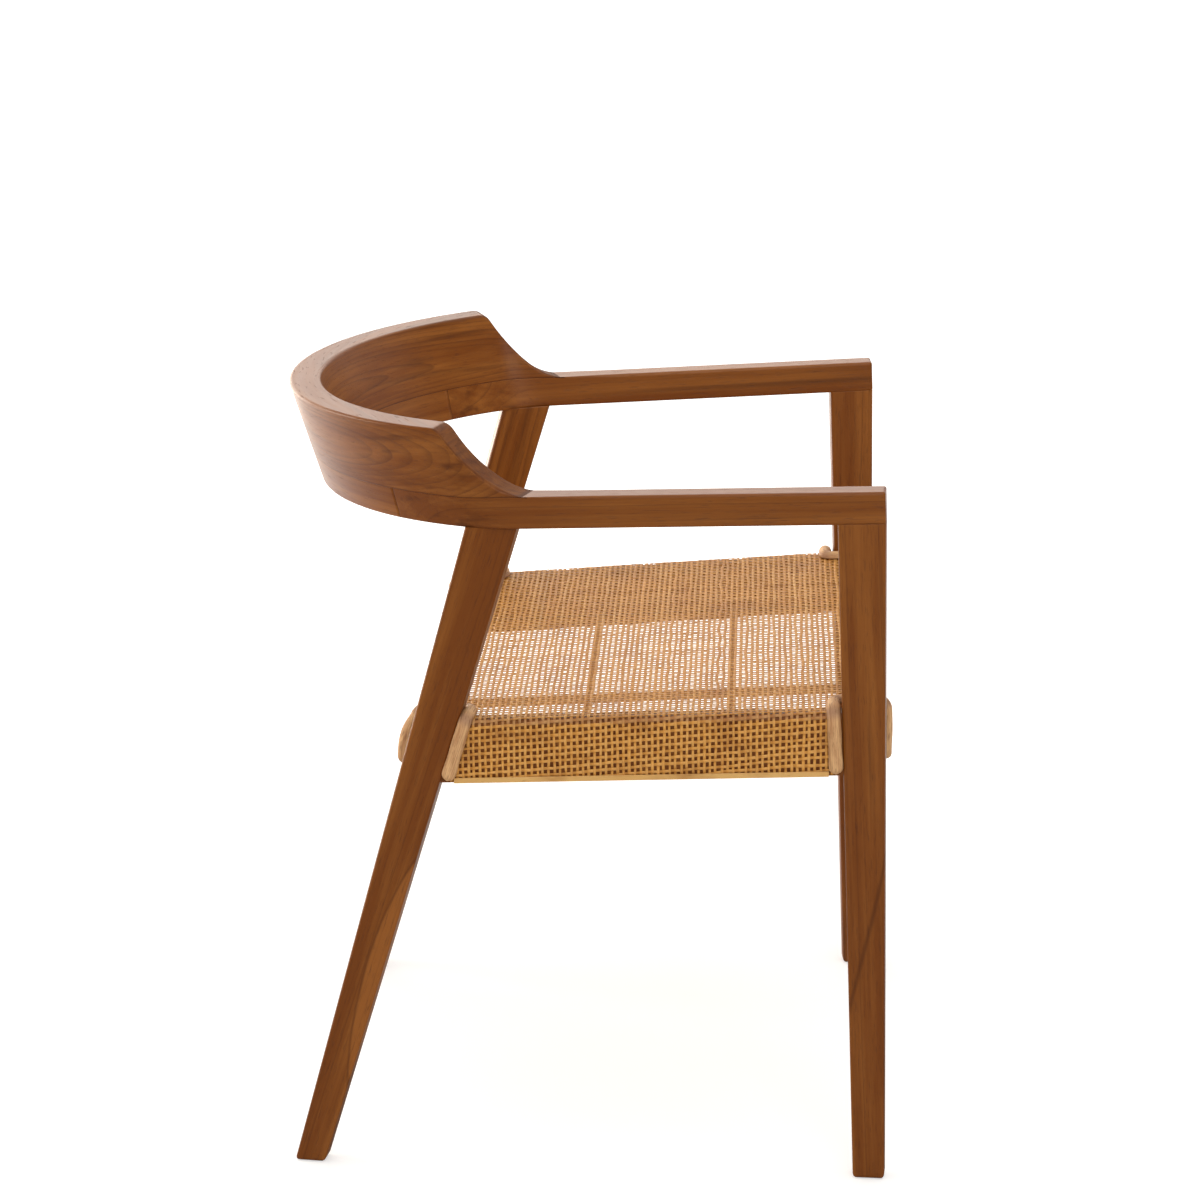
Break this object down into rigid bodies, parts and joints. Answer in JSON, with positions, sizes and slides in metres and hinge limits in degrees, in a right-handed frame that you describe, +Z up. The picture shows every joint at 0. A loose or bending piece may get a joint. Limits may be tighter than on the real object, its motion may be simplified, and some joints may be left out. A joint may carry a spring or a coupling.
{
  "type": "armchair",
  "caption": "Low-backed wooden armchair: straight arms run into a curved, leaning back crest scooped at both ends, on raked tapered legs, with a woven cane seat.",
  "frame": {"origin": "on the floor, under the middle of the chair's bounding box", "axes": "+Z up, -Y to the front where the sitter faces, +X to the sitter's left"},
  "size_m": [0.5846, 0.5744, 0.7127],
  "materials": {
    "teak": "satin oiled",
    "cane_pole": "satin",
    "cane_weave": "satin",
    "cane_trim": "satin",
    "steel": "zinc plated"
  },
  "bodies": {
    "root": {"front_leg_left": "teak", "front_leg_right": "teak", "rear_leg_left": "teak", "rear_leg_right": "teak", "arm_left": "teak", "arm_right": "teak", "back_rail": "teak", "back_crest": "teak", "back_tongue_left": "teak", "back_tongue_right": "teak", "seat_front_rail": "teak", "seat_rear_rail": "teak", "seat_side_rail_left": "teak", "seat_side_rail_right": "teak", "seat_cross_cane_front": "cane_pole", "seat_cross_cane_rear": "cane_pole", "seat_center_batten": "cane_pole", "seat_weave": "cane_weave", "edge_strip_left": "cane_weave", "edge_strip_right": "cane_weave", "edge_strip_front": "cane_weave", "edge_strip_rear": "cane_weave", "corner_trim_front_left": "cane_trim", "corner_trim_front_right": "cane_trim", "corner_trim_rear_left": "cane_trim", "corner_trim_rear_right": "cane_trim", "batten_screws": "steel"}
  },
  "joints": []
}
